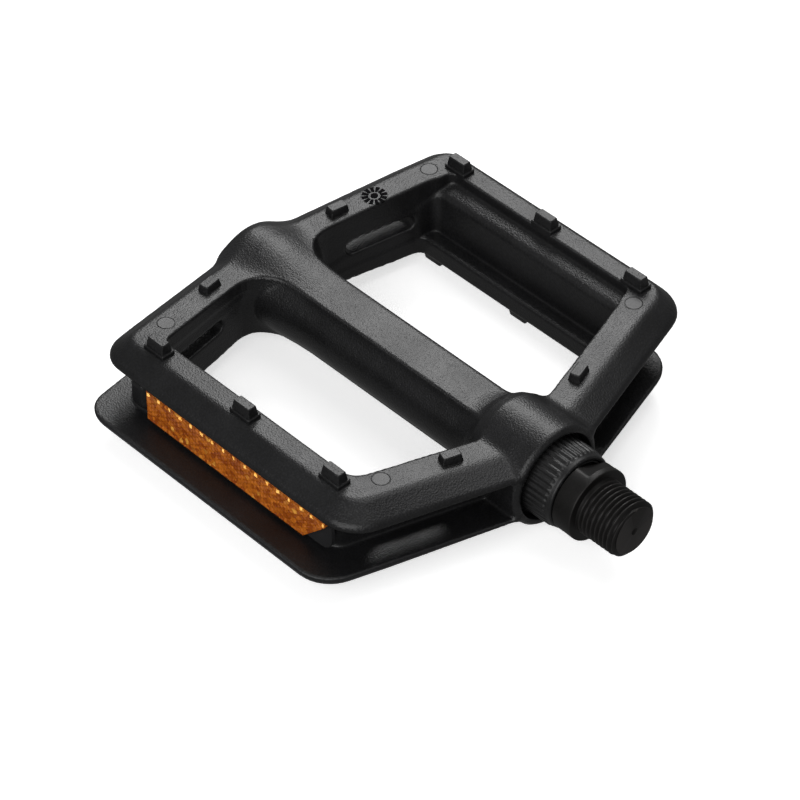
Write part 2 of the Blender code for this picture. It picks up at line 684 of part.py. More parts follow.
def upright_plate(bm, margin, face, back):
    """A flat plate in the reflector pocket, rounded at its crank end."""
    low_x, high_x = LENS["low_x"] - margin, LENS["high_x"] + margin
    low_z, high_z = LENS["low_z"] - margin, LENS["high_z"] + margin
    outline = rounded_outline([(low_x, low_z, PLAIN_CORNER), (high_x, low_z, LENS_CORNER),
                               (high_x, high_z, LENS_CORNER), (low_x, high_z, PLAIN_CORNER)])
    loft(bm, [(-back, outline), (-face, outline)])
    upright = Matrix.Rotation(math.pi / 2, 3, "X")
    bmesh.ops.rotate(bm, verts=bm.verts, cent=(0, 0, 0), matrix=upright)


def make_reflector(side, lens_finish, tray_finish):
    """A lens on its tray; the front pair is the rear pair turned about the spindle."""
    pieces = (("reflector_lens_", 0.0, LENS["face"], LENS["back"], lens_finish),
              ("reflector_tray_", TRAY_MARGIN, TRAY_FACE, TRAY_BACK, tray_finish))
    for label, margin, face, back, finish in pieces:
        bm = bmesh.new()
        upright_plate(bm, margin, face, back)
        if side == "front":
            half_turn(bm)
        new_object(label + side, bm, finish)


def main():
    """Build the whole pedal."""
    for old in list(bpy.data.objects):
        bpy.data.objects.remove(old)
    finishes = make_materials()
    make_pedal_body(finishes["black_nylon"])
    make_spindle(finishes["black_steel"])
    make_lock_sleeve(finishes["sleeve_plastic"])
    make_inner_seal(finishes["seal_rubber"])
    make_inner_cup(finishes["bearing_steel"])
    make_outer_cup(finishes["bearing_steel"])
    make_outer_cone(finishes["bearing_steel"])
    make_balls("inner", INNER_BALL, finishes["bearing_steel"])
    make_balls("outer", OUTER_BALL, finishes["bearing_steel"])
    flat_ring("keyed_washer", WASHER_SPAN, WASHER_RADIUS, finishes["zinc_steel"])
    make_locknut(finishes["zinc_steel"])
    make_dust_cap(finishes["black_nylon"])
    for side in ("front", "rear"):
        make_reflector(side, finishes["amber_lens"], finishes["tray_plastic"])


main()
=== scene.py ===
"""Looks for the left-hand flat pedal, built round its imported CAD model.

Sizes are in millimetres until a mesh is made. The world origin is the crank shoulder, on the
spindle's axis. Every x is measured from the middle of the cage, which lies at CAGE_X, except
the spindle's own, which are measured from the shoulder.
"""

import json
import math

import bmesh
import bpy
import numpy as np
from mathutils import Matrix, Vector


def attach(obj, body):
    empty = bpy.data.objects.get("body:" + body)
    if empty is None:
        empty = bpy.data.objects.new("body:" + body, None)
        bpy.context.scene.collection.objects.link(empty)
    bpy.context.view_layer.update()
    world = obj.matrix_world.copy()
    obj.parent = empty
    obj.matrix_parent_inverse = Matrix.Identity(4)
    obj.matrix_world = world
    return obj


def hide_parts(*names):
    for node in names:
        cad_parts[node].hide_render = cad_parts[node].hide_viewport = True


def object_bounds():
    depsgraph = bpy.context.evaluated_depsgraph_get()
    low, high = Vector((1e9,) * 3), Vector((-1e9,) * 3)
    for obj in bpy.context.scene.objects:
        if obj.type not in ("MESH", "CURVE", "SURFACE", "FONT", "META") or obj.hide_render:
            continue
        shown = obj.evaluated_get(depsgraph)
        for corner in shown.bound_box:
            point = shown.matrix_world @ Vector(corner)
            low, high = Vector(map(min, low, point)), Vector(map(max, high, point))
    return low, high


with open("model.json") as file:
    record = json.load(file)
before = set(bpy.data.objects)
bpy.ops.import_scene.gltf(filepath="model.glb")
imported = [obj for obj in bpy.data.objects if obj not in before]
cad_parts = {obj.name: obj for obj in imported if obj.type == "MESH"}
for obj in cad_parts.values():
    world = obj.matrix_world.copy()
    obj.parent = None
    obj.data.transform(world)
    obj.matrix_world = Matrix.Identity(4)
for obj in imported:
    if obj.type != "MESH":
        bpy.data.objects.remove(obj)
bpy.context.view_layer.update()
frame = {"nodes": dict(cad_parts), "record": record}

MM = 0.001
CAGE_X = -68.3

# ---------------------------------------------------------------- driving sizes
PLATE_TOP = 10.5
PLATE_DISH = 1.75
DISH_INNER, DISH_OUTER = 6.0, 42.0
EDGE_TOP, EDGE_LOW = 7.2, 5.5
SHOULDER_FALL = 0.5  # share of the dish that the shoulder's foot follows down
HUB_HALF_WIDTH = 12.0
HUB_CORNER_RADIUS, OUTER_RIDGE_RADIUS = 1.0, 6.0
EDGE = dict(front=58.5, rear=-52.2, crank=58.9, crank_slope=0.32, outer=-49.3,
            outer_slope=0.146, crank_radius=10.0, outer_radius=7.0)
FACE = dict(front=55.4, rear=-46.9, crank=51.8, crank_slope=0.29, outer=-45.3,
            outer_slope=0.155, crank_radius=6.0, outer_radius=3.5)
CORE = dict(front=48.8, rear=-48.8, crank=49.0, crank_slope=0.31, outer=-43.4,
            outer_slope=0.16, crank_radius=5.0, outer_radius=4.0)
CORE_OVERLAP = 0.6  # how far the core between the plates runs into each of them
OPENING = dict(front=50.1, rear=-41.1, web=5.4, crank=44.3, crank_slope=0.30,
               outer=-38.5, outer_slope=0.17)
FRONT_RADII = (2.5, 2.5, 8.0, 6.0)
REAR_RADII = (5.0, 2.5, 9.0, 4.0)
WEB_TOP = 8.75
WEB_SPAN = (-38.0, 43.0)
TUBE_HALF_WIDTH, TUBE_HALF_HEIGHT = 9.4, 8.4
WALL_INNER = 45.4  # inner face of the wall between the plates
SHELF_Z, SHELF_SLOPE = 6.3, 0.28  # top of that wall, rising towards the rim
LEDGE_Z = -5.4  # where the opening narrows again, in the lower plate
MIDDLE_RADII = (4.0, 2.5, 8.0, 6.0)
CLIP_SPAN, CLIP_Y = (-33.6, -28.0), (-50.8, -47.0)  # rounded block beside each reflector
CLIP_HALF_HEIGHT, CLIP_RADIUS = 4.2, 1.9
WINDOW_HALF_LENGTH, WINDOW_HALF_HEIGHT, WINDOW_Y = 10.0, 2.1, 30.0
CRANK_WALL_X, OUTER_WALL_X, WINDOW_HALF_DEPTH = 46.6, -41.0, 7.0

SIDE_PIN_PITCH = 29.6
SIDE_PIN_FRONT, SIDE_PIN_REAR = 52.0, -44.2
SIDE_PIN_HEIGHTS = (11.8, 13.8)
SIDE_PIN_HALF = (2.5, 1.1)
END_PIN_Y, END_PIN_CRANK, END_PIN_OUTER = 20.4, 41.9, -39.3
END_PIN_CRANK_SLOPE = 0.33  # how the crank-side end pins slant, rise over run
END_PIN_HEIGHTS = (9.5, 11.3)
END_PIN_HALF = (2.2, 1.2)
PIN_FLARE, PLINTH_FLARE, PIN_BEVEL, PIN_CORNER, PIN_ARC_STEPS = 0.45, 0.85, 0.22, 0.35, 3
PLINTH_DROP, PIN_SUNK = 0.35, 0.6  # plinth top under the pin's foot; root under the face

MOUTH_X, MOUTH_RADIUS = 55.5, 13.0
CRANK_BOSS = ((32.0, 0.0), (32.0, 8.2), (35.0, 9.6), (37.5, 12.0), (40.0, MOUTH_RADIUS),
              (54.5, MOUTH_RADIUS), (MOUTH_X, 12.2), (MOUTH_X, 0.0))
OUTER_END_X = -49.5
OUTER_BOSS = ((OUTER_END_X, 0.0), (OUTER_END_X, 9.6), (-48.6, 10.6), (-46.7, 11.2), (-40.5, 11.2),
              (-36.0, 10.4), (-30.0, 8.8), (-23.0, 7.0), (-17.0, 5.0), (-17.0, 0.0))
SLEEVE_BORE, CUP_SEAT_X, THROUGH_BORE, OUTER_SEAT_X, OUTER_BORE = 11.2, 40.2, 6.6, -36.0, 9.0
CHANNEL_HALF_HEIGHT, CHANNEL_END_Y, CHANNEL_SQUARE_Y = 5.5, 19.5, 12.0
CHANNEL_BLOCK_INSET, CHANNEL_BLOCK_OVERLAP = 1.2, 0.5

# Sizes over which creases are rounded and joins are filleted.
SOFT = dict(shoulder=1.0, face=0.55, foot=0.6, core=0.4, plates=1.0, opening=0.6, shelf=0.8, ledge=0.8,
            wall_top=1.8, wall_foot=0.9, channel=1.5, clip=1.5, web=1.2, tube=2.5, beam=0.4, beam_ends=0.4,
            crank_boss=1.6, outer_boss=4.0, hub_ends=0.6, windows=0.5, bores=0.5)

# The grid that the cage is surfaced on, and its tolerances.
CELL, QUICK_CELL = 0.55, 1.0
FIELD_MARGIN, FIELD_HALF_WIDTH, FIELD_HALF_HEIGHT = 1.5, 60.0, 15.0
SLOPE_STEP, SHADING_STEP = 0.02, 0.14  # steps for the slopes that place and that shade the surface
ON_SURFACE, SAME_POINT = 1e-5, 1e-12
CREASE_PULL_BACK = 0.06  # weight that holds a vertex near the mean of its cell's crossings
CREASE_REACH = 0.6  # farthest that it may move from there, in cells

# The spindle, from its thread inwards; RACE_X alone is from the middle of the cage.
THREAD_LENGTH, THREAD_RADIUS, THREAD_PITCH, THREAD_DEPTH, THREAD_START = 11.3, 7.145, 1.27, 0.7, 0.5
THREAD_RING_STEP, THREAD_FADE, THREAD_STEEPNESS, THREAD_ROOT = 0.11, 0.7, 1.35, 0.12
THREAD_END_PLAIN, THREAD_LEAST_RADIUS, PLAIN_START = 0.05, 5.0, 0.4
TIP_LENGTH, TIP_DROP, TIP_RINGS, TIP_GAP = 1.0, 1.2, 10, 0.1  # chamfer on the thread's last turn
END_RINGS = ((0.0, 5.9), (0.0, 1.0), (0.3, 0.7), (0.5, 0.3))  # (depth, radius) of the dimpled end
SPINDLE_ROUND, SLEEVE_ROUND, CAP_ROUND = 0.3, 0.3, 0.25  # corner radii
FLATS_MARGIN, LEAST_SINE = 0.1, 1e-3
COLLAR_LENGTH, COLLAR_RADIUS, FLATS_HALF, FLATS_TURN, FLATS_END_X = 5.4, 9.2, 7.5, -24.0, -1.6
JOURNAL_END_X, JOURNAL_RADIUS = -22.2, 7.2
SHAFT = ((-115.2, 0.4), (-115.2, 3.1), (-114.7, 3.6), (-102.3, 3.6), (-100.3, 4.8), (-30.9, 5.2))
RACE_X, RACE_PITCH_RADIUS, RACE_RADIUS = 43.4, 7.9, 2.284
RACE_ANGLES = range(-100, -19, 8)
SPINDLE_STEPS = 96

# The lock sleeve and the dust cap; sections are (x, radius) corners.
RIB_COUNT, RIB_DEPTH, RIB_SPAN, RIB_FADE, RIB_LEAST_RADIUS = 40, 0.26, (52.8, 61.2), 0.5, 9.0
RIB_WIDTH, RIB_GROOVE = 1.6, 0.3  # how square the ribs are, and how wide their grooves
SLEEVE_SECTION = ((46.6, 8.4), (46.6, 10.9), (52.8, 10.9), (53.3, 10.0), (60.6, 9.85), (61.3, 9.5),
                  (62.2, 9.4), (62.5, 9.1), (62.5, 8.4))
SLEEVE_STEPS = 400
CAP_SECTION = ((-47.5, 0.3), (-47.5, 7.8), (-44.6, 7.8), (-44.6, 8.7), (-48.9, 8.7), (-49.3, 7.7),
               (-49.0, 6.4), (-49.2, 4.6), (-49.2, 3.4), (-48.2, 3.2), (-48.2, 0.3))
SOCKET_RADIUS, CAP_STEPS = 3.6, 96

# The reflector lenses, as the rear one lies.
LENS_X, LENS_Z = (-26.5, 34.3), (-4.3, 4.8)
LENS_FACE_Y, LENS_BACK_Y = -51.4, -50.3
LENS_CUT, LENS_CUT_LENGTH = 7.6, 20.0  # the lower corner at the crank end is cut off
LENS_CELL, LENS_ROWS = 0.35, 27
LENS_BORDER, BORDER_ROUND, BORDER_STEP, PRISM_SINK = 0.55, 0.12, 0.2, 0.1
PRISM_PITCH, PRISM_DEPTH, PRISM_LEAN = 1.1, 0.28, (0.5, 0.87)
# Where the painted glints sit along each lens's upper edge: pitch, half width, height band and least
# distance out in y.
GLINT_PITCH, GLINT_HALF_WIDTH, GLINT_Z, GLINT_LEAST_Y = 3.7, 0.4, (3.2, 4.25), 51.0

# Small marks on the faces.
MARK_STEPS, MARK_SUNK = 40, 0.2
MARK_SPOTS = ((-34.8, 46.7), (-36.0, -36.7), (34.0, 46.7), (36.4, -36.5))
MARK_RINGS = ((2.25, -MARK_SUNK), (2.25, 0.03), (2.05, 0.09), (1.95, 0.03))  # (radius, height)
DIAL_X, DIAL_Y, DIAL_TICKS, DIAL_HEIGHT = -37.0, 30.5, 12, 0.1
DIAL_HUB = ((0.95, -MARK_SUNK), (0.95, 0.08), (0.6, 0.12))
TICK_SPAN, TICK_HALF_WIDTHS = (1.55, 3.2), (0.27, 0.46)  # inner end, outer end
TICK_SPREAD = 0.05  # how far a tick's top widens, and leans towards the hub

# Angles in degrees above which an edge is shaded sharp.
SHARP = dict(pins=25.0, turned=38.0, lens=20.0, marks=30.0)

# ---------------------------------------------------------------- distance fields

def smooth_max(a, b, size):
    """The larger of two fields, with their crease rounded over about size."""
    share = np.clip(0.5 + 0.5 * (a - b) / size, 0.0, 1.0)
    return b + (a - b) * share + size * share * (1.0 - share)


def smooth_min(a, b, size):
    """The smaller of two fields, with a soft fillet between them."""
    return -smooth_max(-a, -b, size)


def rounded_outline(corners, steps=8):
    """Points of a polygon whose corners (x, y, radius) are turned as arcs."""
    points = []
    count = len(corners)
    for index, (x, y, radius) in enumerate(corners):
        here = Vector((x, y))
        before = (Vector(corners[index - 1][:2]) - here).normalized()
        after = (Vector(corners[(index + 1) % count][:2]) - here).normalized()
        half_angle = before.angle(after) / 2
        centre = here + (before + after).normalized() * radius / math.sin(half_angle)
        start = here + before * radius / math.tan(half_angle) - centre
        sweep = math.pi - 2 * half_angle
        turn = 1.0 if before.cross(after) < 0 else -1.0
        for step in range(steps + 1):
            points.append(tuple(centre + Matrix.Rotation(turn * sweep * step / steps, 2) @ start))
    return points


def plate_outline(shape):
    """The outline of a plate, blunt where the rims meet the hub."""
    def crank_x(y):
        return shape["crank"] - shape["crank_slope"] * abs(y)

    def outer_x(y):
        return shape["outer"] + shape["outer_slope"] * abs(y)

    front, rear = shape["front"], shape["rear"]
    return rounded_outline([
        (crank_x(HUB_HALF_WIDTH), HUB_HALF_WIDTH, HUB_CORNER_RADIUS),
        (crank_x(front), front, shape["crank_radius"]), (outer_x(front), front, shape["outer_radius"]),
        (outer_x(0.0), 0.0, OUTER_RIDGE_RADIUS), (outer_x(rear), rear, shape["outer_radius"]),
        (crank_x(rear), rear, shape["crank_radius"]),
        (crank_x(HUB_HALF_WIDTH), -HUB_HALF_WIDTH, HUB_CORNER_RADIUS)])


def opening_outline(rim, radii):
    """The front foot opening's outline out to one rim."""

    def crank_x(y):
        return OPENING["crank"] - OPENING["crank_slope"] * y

    def outer_x(y):
        return OPENING["outer"] + OPENING["outer_slope"] * y

    web = OPENING["web"]
    return rounded_outline([(crank_x(rim), rim, radii[0]), (outer_x(rim), rim, radii[1]),
                            (outer_x(web), web, radii[2]), (crank_x(web), web, radii[3])])


OUTLINES = {"edge": plate_outline(EDGE), "face": plate_outline(FACE), "core": plate_outline(CORE),
            "open_top": opening_outline(OPENING["front"], FRONT_RADII),
            "open_middle": opening_outline(WALL_INNER, MIDDLE_RADII),
            "open_low": opening_outline(-OPENING["rear"], REAR_RADII)}


def outline_distance(points, x, y):
    """Signed distance to a closed outline, negative inside it."""
    nearest, inside = np.inf, np.zeros(np.broadcast(x, y).shape, bool)
    for (ax, ay), (bx, by) in zip(points, points[1:] + points[:1]):
        ex, ey = bx - ax, by - ay
        if ex * ex + ey * ey < SAME_POINT:
            continue
        px, py = x - ax, y - ay
        along = np.clip((px * ex + py * ey) / (ex * ex + ey * ey), 0.0, 1.0)
        nearest = np.minimum(nearest, (px - ex * along) ** 2 + (py - ey * along) ** 2)
        if ay != by:
            inside ^= ((ay > y) != (by > y)) & (x < ax + (y - ay) * ex / ey)
    return np.where(inside, -1.0, 1.0) * np.sqrt(nearest)


def leaning(low, high, z, bottom, top):
    """A side that leans from one outline's field at bottom to another's at top."""
    share = (z - bottom) / (top - bottom)
    lean = (high - low) / (top - bottom)
    return (low + share * (high - low)) / np.sqrt(1.0 + lean * lean)


def plate(edge, face, y, z):
    """One plate: upright edge, sloping shoulders and a dished face."""
    share = np.clip((np.abs(y) - DISH_INNER) / (DISH_OUTER - DISH_INNER), 0.0, 1.0)
    drop = PLATE_DISH * (1.0 - share)
    shoulder = leaning(edge, face, z, EDGE_TOP - SHOULDER_FALL * drop, PLATE_TOP - drop)
    side = smooth_max(edge, shoulder, SOFT["shoulder"])
    return smooth_max(smooth_max(side, z - (PLATE_TOP - drop), SOFT["face"]), EDGE_LOW - z, SOFT["foot"])


def block(x, y, z, span_x, span_y, half_z, radius):
    """A box with rounded edges."""
    gaps = []
    for value, (low, high) in ((x, span_x), (y, span_y), (z, (-half_z, half_z))):
        gaps.append(np.abs(value - (low + high) / 2) - (high - low) / 2 + radius)
    outside = np.sqrt(sum(np.maximum(g, 0.0) ** 2 for g in gaps))
    inside = np.minimum(np.maximum(np.maximum(gaps[0], gaps[1]), gaps[2]), 0.0)
    return outside + inside - radius


def windows(x, y, z):
    """The four long drain slots through the end walls, round ended."""
    best = np.inf
    walls = ((CRANK_WALL_X, -CORE["crank_slope"]), (OUTER_WALL_X, CORE["outer_slope"]))
    for middle, slope in walls:
        size = math.hypot(1.0, slope)
        away, across = x - middle - slope * WINDOW_Y, np.abs(y) - WINDOW_Y
        u, v = (away * slope + across) / size, (away - across * slope) / size
        straight = WINDOW_HALF_LENGTH - WINDOW_HALF_HEIGHT
        slot = np.hypot(np.maximum(np.abs(u) - straight, 0.0), z) - WINDOW_HALF_HEIGHT
        best = np.minimum(best, np.maximum(slot, np.abs(v) - WINDOW_HALF_DEPTH))
    return best


def opening(outlines, y, z):
    """One foot opening: widest above the wall's shelf, narrowest below the lower ledge."""
    shelf = SHELF_Z + SHELF_SLOPE * (y - WALL_INNER)
    above = smooth_max(outlines["open_top"], shelf - z, SOFT["shelf"])
    middle = smooth_max(outlines["open_middle"], LEDGE_Z - z, SOFT["ledge"])
    return smooth_min(smooth_min(above, middle, SOFT["wall_top"]), outlines["open_low"], SOFT["wall_foot"])


def hub_block(edge, y, z):
    """The solid that closes each end channel by the hub: round ended in front, square behind."""
    channel = np.hypot(np.minimum(np.abs(y) - CHANNEL_END_Y, 0.0), z) - CHANNEL_HALF_HEIGHT
    square = smooth_max(CHANNEL_SQUARE_Y - np.abs(y), np.abs(z) - CHANNEL_HALF_HEIGHT, SOFT["channel"])
    channel = np.where(y < 0, square, channel)
    inset = np.maximum(edge + CHANNEL_BLOCK_INSET, np.abs(y) - CHANNEL_END_Y)
    ends = np.abs(z) - CHANNEL_HALF_HEIGHT - CHANNEL_BLOCK_OVERLAP
    return np.maximum(np.maximum(-channel, inset), ends)


def bores(x, radius):
    """The stepped bore for bearings, sleeve and cap."""
    seat = np.maximum(radius - SLEEVE_BORE, CUP_SEAT_X - x)
    outer = np.maximum(radius - OUTER_BORE, x - OUTER_SEAT_X)
    return np.minimum(np.minimum(seat, outer), radius - THROUGH_BORE)


def moulding(x, y, z):
    """The whole cage as one field in millimetres, negative inside."""
    field = {name: outline_distance(points, x, y) for name, points in OUTLINES.items()}
    turned = {name: outline_distance(points, x, -y) for name, points in OUTLINES.items()}
    core = smooth_max(field["core"], np.abs(z) - EDGE_LOW - CORE_OVERLAP, SOFT["core"])
    body = smooth_min(plate(field["edge"], field["face"], y, z), core, SOFT["plates"])
    body = smooth_min(body, plate(turned["edge"], turned["face"], -y, -z), SOFT["plates"])
    body = np.minimum(body, hub_block(np.maximum(field["edge"], turned["edge"]), y, z))
    for outlines, side, height in ((field, y, z), (turned, -y, -z)):
        body = smooth_max(body, -opening(outlines, side, height), SOFT["opening"])
    for side, height in ((y, z), (-y, -z)):
        clip = block(x, side, height, CLIP_SPAN, CLIP_Y, CLIP_HALF_HEIGHT, CLIP_RADIUS)
        body = smooth_min(body, clip, SOFT["clip"])
    web = smooth_max(np.abs(y) - OPENING["web"], np.abs(z) - WEB_TOP, SOFT["web"])
    tube = (np.hypot(y / TUBE_HALF_WIDTH, z / TUBE_HALF_HEIGHT) - 1.0) * TUBE_HALF_HEIGHT
    beam = smooth_max(smooth_min(web, tube, SOFT["tube"]), np.abs(z) - WEB_TOP, SOFT["beam"])
    middle, half = sum(WEB_SPAN) / 2, (WEB_SPAN[1] - WEB_SPAN[0]) / 2
    body = smooth_min(body, np.maximum(beam, np.abs(x - middle) - half), SOFT["beam_ends"])
    radius = np.hypot(y, z)
    for profile, soft in ((CRANK_BOSS, SOFT["crank_boss"]), (OUTER_BOSS, SOFT["outer_boss"])):
        body = smooth_min(body, outline_distance(profile, x, radius), soft)
    body = smooth_max(body, x - MOUTH_X, SOFT["hub_ends"])
    body = smooth_max(body, OUTER_END_X - x, SOFT["hub_ends"])
    body = smooth_max(body, -windows(x, y, z), SOFT["windows"])
    return smooth_max(body, -bores(x, radius), SOFT["bores"])


def slope_of(field, points, step=SLOPE_STEP):
    """Unit gradients of a field at some points, by differences."""
    corners = np.array(((1, -1, -1), (-1, -1, 1), (-1, 1, -1), (1, 1, 1)), float)
    total = np.zeros_like(points)
    for corner in corners:
        moved = points + corner * step
        total += corner * field(*moved.T)[:, None]
    return total / np.maximum(np.linalg.norm(total, axis=1), 1e-9)[:, None]


def dual_contour(field, low, high, cell):
    """Quads on a field's zero surface that keep its creases sharp."""
    axes = [np.arange(a, b + cell, cell) for a, b in zip(low, high)]
    shape = [len(a) for a in axes]
    values = field(axes[0][:, None, None], axes[1][None, :, None], axes[2][None, None, :])
    values = np.broadcast_to(values, shape).astype(np.float32)
    values = np.where(np.abs(values) < ON_SURFACE, np.float32(ON_SURFACE), values)
    crossings, quads = [], []
    for axis in range(3):
        first = [slice(0, n) for n in shape]
        second = list(first)
        first[axis], second[axis] = slice(0, shape[axis] - 1), slice(1, shape[axis])
        a, b = values[tuple(first)], values[tuple(second)]
        where = np.argwhere((a < 0) != (b < 0))
        others = [i for i in range(3) if i != axis]
        where = where[(where[:, others] > 0).all(1)]
        va = a[tuple(where.T)]
        share = va / (va - b[tuple(where.T)])
        start = np.stack([axes[i][where[:, i]] for i in range(3)], 1)
        start[:, axis] += share * cell
        around = []
        for du, dv in ((0, 0), (1, 0), (1, 1), (0, 1)):
            corner = where.copy()
            corner[:, others[0]] -= 1 - du
            corner[:, others[1]] -= 1 - dv
            around.append(np.ravel_multi_index(corner.T, shape))
        around = np.stack(around, 1)
        flip = (va < 0) == (axis == 1)
        around[flip] = around[flip][:, ::-1]
        crossings.append(start)
        quads.append(around)
    points = np.concatenate(crossings)
    normals = slope_of(field, points)
    used, faces = np.unique(np.concatenate(quads), return_inverse=True)
    faces = faces.reshape(-1, 4)
    count = len(used)
    spread = np.repeat(np.arange(len(points)), 4)
    owner = faces.ravel()
    hits = np.bincount(owner, minlength=count)
    mass = np.stack([np.bincount(owner, points[spread, i], count) for i in range(3)], 1) / hits[:, None]
    offset = points[spread] - mass[owner]
    n = normals[spread]
    reach = (n * offset).sum(1)
    matrix = np.zeros((count, 3, 3))
    target = np.zeros((count, 3))
    for i in range(3):
        target[:, i] = np.bincount(owner, n[:, i] * reach, count)
        for j in range(3):
            matrix[:, i, j] = np.bincount(owner, n[:, i] * n[:, j], count)
    matrix += np.eye(3) * CREASE_PULL_BACK
    moved = np.linalg.solve(matrix, target[:, :, None])[:, :, 0]
    moved = np.clip(moved, -CREASE_REACH * cell, CREASE_REACH * cell)
    return mass + moved, faces


# ---------------------------------------------------------------- meshes

def to_object(name, points, faces, x_shift=CAGE_X, sharp=None):
    """A mesh object from points in millimetres."""
    mesh = bpy.data.meshes.new(name)
    mesh.from_pydata((np.asarray(points, float) + (x_shift, 0, 0)) * MM, [], [list(f) for f in faces])
    bm = bmesh.new()
    bm.from_mesh(mesh)
    bmesh.ops.recalc_face_normals(bm, faces=bm.faces)
    bm.to_mesh(mesh)
    bm.free()
    mesh.shade_smooth()
    if sharp is not None:
        mesh.set_sharp_from_angle(angle=math.radians(sharp))
    made = bpy.data.objects.new(name, mesh)
    bpy.context.scene.collection.objects.link(made)
    return made


def turned_grid(path, steps, radius_at, closed=False):
    """Rings along an (x, radius) path, each point's radius set by radius_at(x, r, angle)."""
    angles = 2 * math.pi * np.arange(steps) / steps
    points, faces = [], []
    for x, r in path:
        radii = radius_at(x, r, angles)
        points += list(zip(np.full(steps, x), radii * np.cos(angles), radii * np.sin(angles)))
    rows = len(path)
    for row in range(rows if closed else rows - 1):
        here, there = row * steps, (row + 1) % rows * steps
        for i in range(steps):
            j = (i + 1) % steps
            faces.append((here + i, here + j, there + j, there + i))
    if not closed:
        faces.append(list(range(steps))[::-1])
        faces.append(list(range((rows - 1) * steps, rows * steps)))
    return points, faces


def rounded_path(corners, radius, steps=4, most_of_side=0.45):
    """An (x, radius) path with each inner corner turned as a small curve."""
    path = [corners[0]]
    for before, here, after in zip(corners, corners[1:], corners[2:]):
        here = Vector(here)
        back, ahead = Vector(before) - here, Vector(after) - here
        size = min(radius, back.length * most_of_side, ahead.length * most_of_side)
        start, end = here + back.normalized() * size, here + ahead.normalized() * size
        for step in range(steps + 1):
            t = step / steps
            path.append(tuple((1 - t) ** 2 * start + 2 * t * (1 - t) * here + t * t * end))
    return path + [corners[-1]]


# ---------------------------------------------------------------- materials

# Scales are in cycles per metre.
BLOTCH_SCALE, RIPPLE_SCALE, RIPPLE_SHARE, RIPPLE_STRENGTH, GRAIN_STRENGTH = 90.0, 420.0, 1.6, 0.35, 0.8
EDGE_TINT_RAMP = ((0.52, 0.0), (0.6, 1.0))
PRISM_CELL_SCALE = 900.0
# AMBER_DARK and AMBER_LIGHT span the lens cells' painted uneven brightness; AMBER_GLINT is a painted
# highlight colour for a few of them.
AMBER_DARK, AMBER_LIGHT, AMBER_GLINT = (0.31, 0.06, 0.003), (0.62, 0.17, 0.013), (0.95, 0.42, 0.06)
# GLINT_DARK and GLINT_LIGHT colour the painted glints, which also glow.
GLINT_DARK, GLINT_LIGHT = (0.9, 0.32, 0.03), (1.0, 0.68, 0.2)


def nodes_of(name):
    """A fresh node material and its shader."""
    made = bpy.data.materials.new(name)
    made.use_nodes = True
    return made, made.node_tree, made.node_tree.nodes["Principled BSDF"]


def noise(tree, scale, detail=3.0, roughness=0.6, stretch=None):
    """Noise on the object's own coordinates, in cycles per metre."""
    coordinates = tree.nodes.new("ShaderNodeTexCoord")
    source = coordinates.outputs["Object"]
    if stretch is not None:
        mapping = tree.nodes.new("ShaderNodeMapping")
        mapping.inputs["Scale"].default_value = stretch
        tree.links.new(source, mapping.inputs["Vector"])
        source = mapping.outputs["Vector"]
    made = tree.nodes.new("ShaderNodeTexNoise")
    made.inputs["Scale"].default_value = scale
    made.inputs["Detail"].default_value = detail
    made.inputs["Roughness"].default_value = roughness
    tree.links.new(source, made.inputs["Vector"])
    return made.outputs["Fac"]


def ramp(tree, value, stops):
    """A colour ramp over a value, from two stops of (position, colour or grey)."""
    made = tree.nodes.new("ShaderNodeValToRGB")
    for element, (position, colour) in zip(made.color_ramp.elements, stops):
        element.position = position
        element.color = (*colour, 1.0) if isinstance(colour, tuple) else (colour, colour, colour, 1.0)
    tree.links.new(value, made.inputs["Fac"])
    return made.outputs["Color"]


def colour_output(node):
    """The colour output of a mix node."""
    return [socket for socket in node.outputs if socket.type == "RGBA"][0]


def mix(tree, share, first, second):
    """A colour mix of two sockets or colours."""
    made = tree.nodes.new("ShaderNodeMix")
    made.data_type = "RGBA"
    tree.links.new(share, made.inputs["Factor"])
    for slot, value in (("A", first), ("B", second)):
        socket = [s for s in made.inputs if s.name == slot and s.type == "RGBA"][0]
        if isinstance(value, tuple):
            socket.default_value = (*value, 1.0)
        else:
            tree.links.new(value, socket)
    return colour_output(made)


def bump(tree, value, distance, strength=1.0, before=None):
    """A bump layer on top of an earlier one."""
    made = tree.nodes.new("ShaderNodeBump")
    made.inputs["Distance"].default_value = distance
    made.inputs["Strength"].default_value = strength
    tree.links.new(value, made.inputs["Height"])
    if before is not None:
        tree.links.new(before, made.inputs["Normal"])
    return made.outputs["Normal"]


